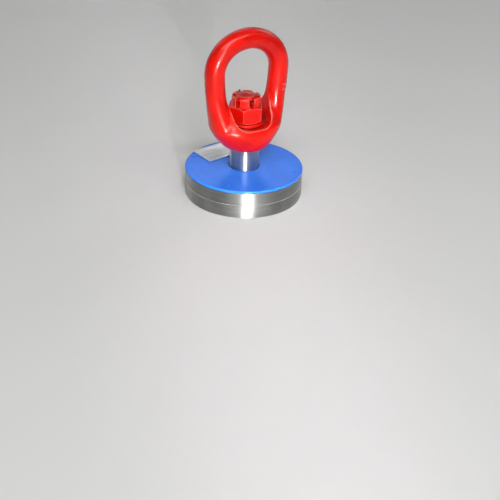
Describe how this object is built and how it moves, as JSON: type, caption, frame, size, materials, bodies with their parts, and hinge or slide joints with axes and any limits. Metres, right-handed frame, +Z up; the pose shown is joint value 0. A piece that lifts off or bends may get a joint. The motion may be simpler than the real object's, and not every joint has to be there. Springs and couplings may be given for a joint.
{
  "type": "lifting magnet",
  "caption": "Round permanent lifting magnet with a flat work face, ground steel stem and forged swivel eye held by a castle nut and split pin.",
  "frame": {"origin": "centre of the flat work face on the underside", "axes": "+Z up the stem to the lifting eye; at rest the eye's ring lies in the XZ plane; the rating plate is on the +Y side"},
  "size_m": [0.125, 0.125, 0.1778],
  "materials": {
    "red_paint": "thick gloss paint over a forging",
    "blue_paint": "gloss paint",
    "ground_steel": "finely turned and ground",
    "dark_steel": "black oxide",
    "brass": "turned",
    "rubber": "matt",
    "magnet_nickel": "nickel plated",
    "aluminium": "turned",
    "plate_metal": "satin plate"
  },
  "bodies": {
    "magnet": {"pole_ring": "ground_steel", "yoke_plate": "ground_steel", "top_cover": "blue_paint", "cover_screw_1": "blue_paint", "cover_screw_2": "blue_paint", "cover_screw_3": "blue_paint", "cover_screw_4": "blue_paint", "body_screw_1": "dark_steel", "body_screw_2": "dark_steel", "body_screw_3": "dark_steel", "body_screw_4": "dark_steel", "body_seal": "rubber", "stem_seal": "rubber", "centre_pole": "ground_steel", "pole_screw_1": "dark_steel", "pole_screw_2": "dark_steel", "pole_screw_3": "dark_steel", "pole_screw_4": "dark_steel", "gap_ring": "brass", "magnet_1": "magnet_nickel", "magnet_2": "magnet_nickel", "magnet_3": "magnet_nickel", "magnet_4": "magnet_nickel", "magnet_5": "magnet_nickel", "magnet_6": "magnet_nickel", "magnet_7": "magnet_nickel", "magnet_8": "magnet_nickel", "magnet_carrier": "aluminium", "stem": "ground_steel", "rating_plate": "plate_metal", "thrust_washer": "red_paint", "castle_nut": "red_paint", "split_pin": "red_paint"},
    "eye": {"swivel_eye": "red_paint", "eye_bush": "brass"}
  },
  "joints": [
    {"name": "eye_swivel", "type": "hinge", "parent": "magnet", "child": "eye", "pos_m": [0, 0, 0.0795], "axis": [0, 0, 1], "continuous": true}
  ]
}
